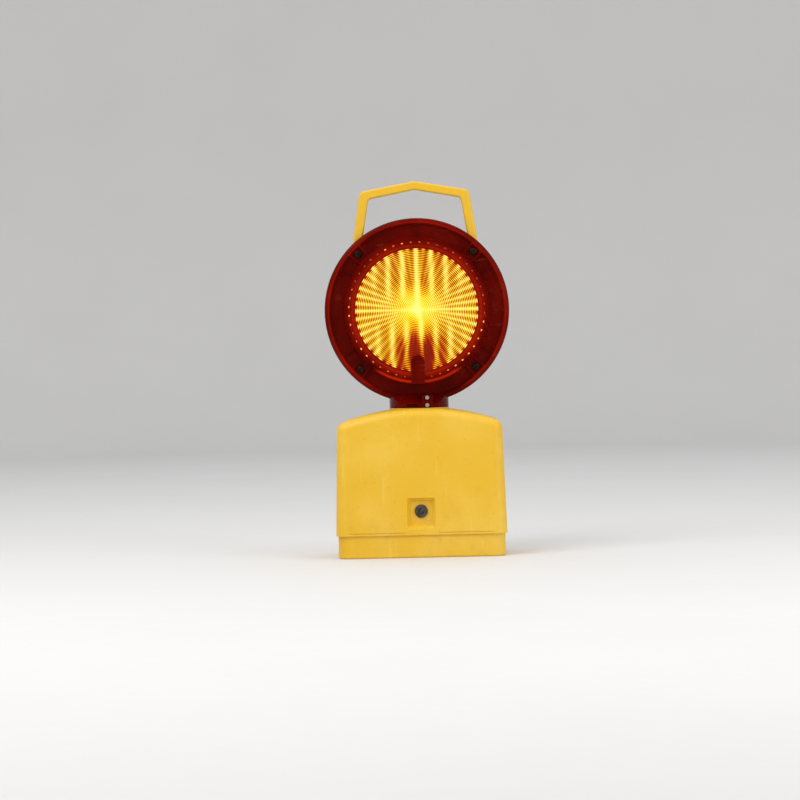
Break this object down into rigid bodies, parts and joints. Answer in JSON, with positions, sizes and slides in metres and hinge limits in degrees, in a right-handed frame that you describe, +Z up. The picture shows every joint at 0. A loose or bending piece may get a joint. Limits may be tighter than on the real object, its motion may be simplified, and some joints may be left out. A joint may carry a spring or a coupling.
{
  "type": "barricade warning light",
  "caption": "Battery warning light: a crowned battery box with a lift-off cover and key lock, and a round two-sided amber lamp head with a carrying handle that turns on it.",
  "frame": {"origin": "on the surface it stands on, under the middle of the base", "axes": "+Z up; the lamp's front lens and the lock face -Y; +X to the right seen from the front"},
  "size_m": [0.184, 0.092, 0.3729],
  "materials": {
    "case_yellow": "satin",
    "amber_moulding": "gloss",
    "handle_yellow": "satin",
    "seal_rubber": "matte",
    "insert_brass": "satin",
    "contact_brass": "polished",
    "zinc_steel": "satin",
    "spring_steel": "satin",
    "lock_steel": "satin",
    "battery_jacket": "satin",
    "battery_top": "matte",
    "board_green": "satin",
    "black_plastic": "matte",
    "can_blue": "gloss",
    "resistor_tan": "satin",
    "lead_black": "satin",
    "nylon_white": "satin",
    "bulb_clear": "polished",
    "filament_metal": "satin",
    "cell_window": "gloss"
  },
  "bodies": {
    "base": {"base_tray": "case_yellow", "base_seal": "seal_rubber", "mount_inserts": "insert_brass", "lock_catch": "zinc_steel", "battery_jacket_left": "battery_jacket", "battery_jacket_right": "battery_jacket", "battery_top_left": "battery_top", "battery_top_right": "battery_top", "battery_springs_left": "spring_steel", "battery_springs_right": "spring_steel"},
    "cover": {"case_cover": "case_yellow", "circuit_board": "board_green", "contact_strips": "contact_brass", "board_screws": "zinc_steel", "timer_chip": "black_plastic", "transistor": "black_plastic", "capacitor": "can_blue", "resistors": "resistor_tan", "lead_lower": "lead_black"},
    "lock": {"lock_barrel": "lock_steel", "lock_clip": "zinc_steel", "lock_cam": "zinc_steel"},
    "head": {"front_lens": "amber_moulding", "rear_lens": "amber_moulding", "lens_gasket": "seal_rubber", "lens_screws": "zinc_steel", "lens_nuts": "zinc_steel", "handle": "handle_yellow", "swivel_ring": "nylon_white", "swivel_seal": "seal_rubber", "neck_screws": "zinc_steel", "lamp_post": "nylon_white", "bulb_socket": "contact_brass", "socket_contact": "contact_brass", "bulb_base": "contact_brass", "bulb_glass": "bulb_clear", "bulb_filament": "filament_metal", "photocell_holder": "black_plastic", "photocell": "cell_window", "photocell_lead": "lead_black", "lead_upper": "lead_black"}
  },
  "joints": [
    {"name": "cover_lift", "type": "slide", "parent": "base", "child": "cover", "axis": [0, 0, 1], "range_m": [0, 0.125]},
    {"name": "head_swivel", "type": "hinge", "parent": "cover", "child": "head", "pos_m": [0, 0, 0.147], "axis": [0, 0, 1], "range_deg": [-90, 90]},
    {"name": "lock_turn", "type": "hinge", "parent": "cover", "child": "lock", "pos_m": [0, -0.035, 0.0457], "axis": [0, 1, 0], "range_deg": [0, 90]}
  ]
}
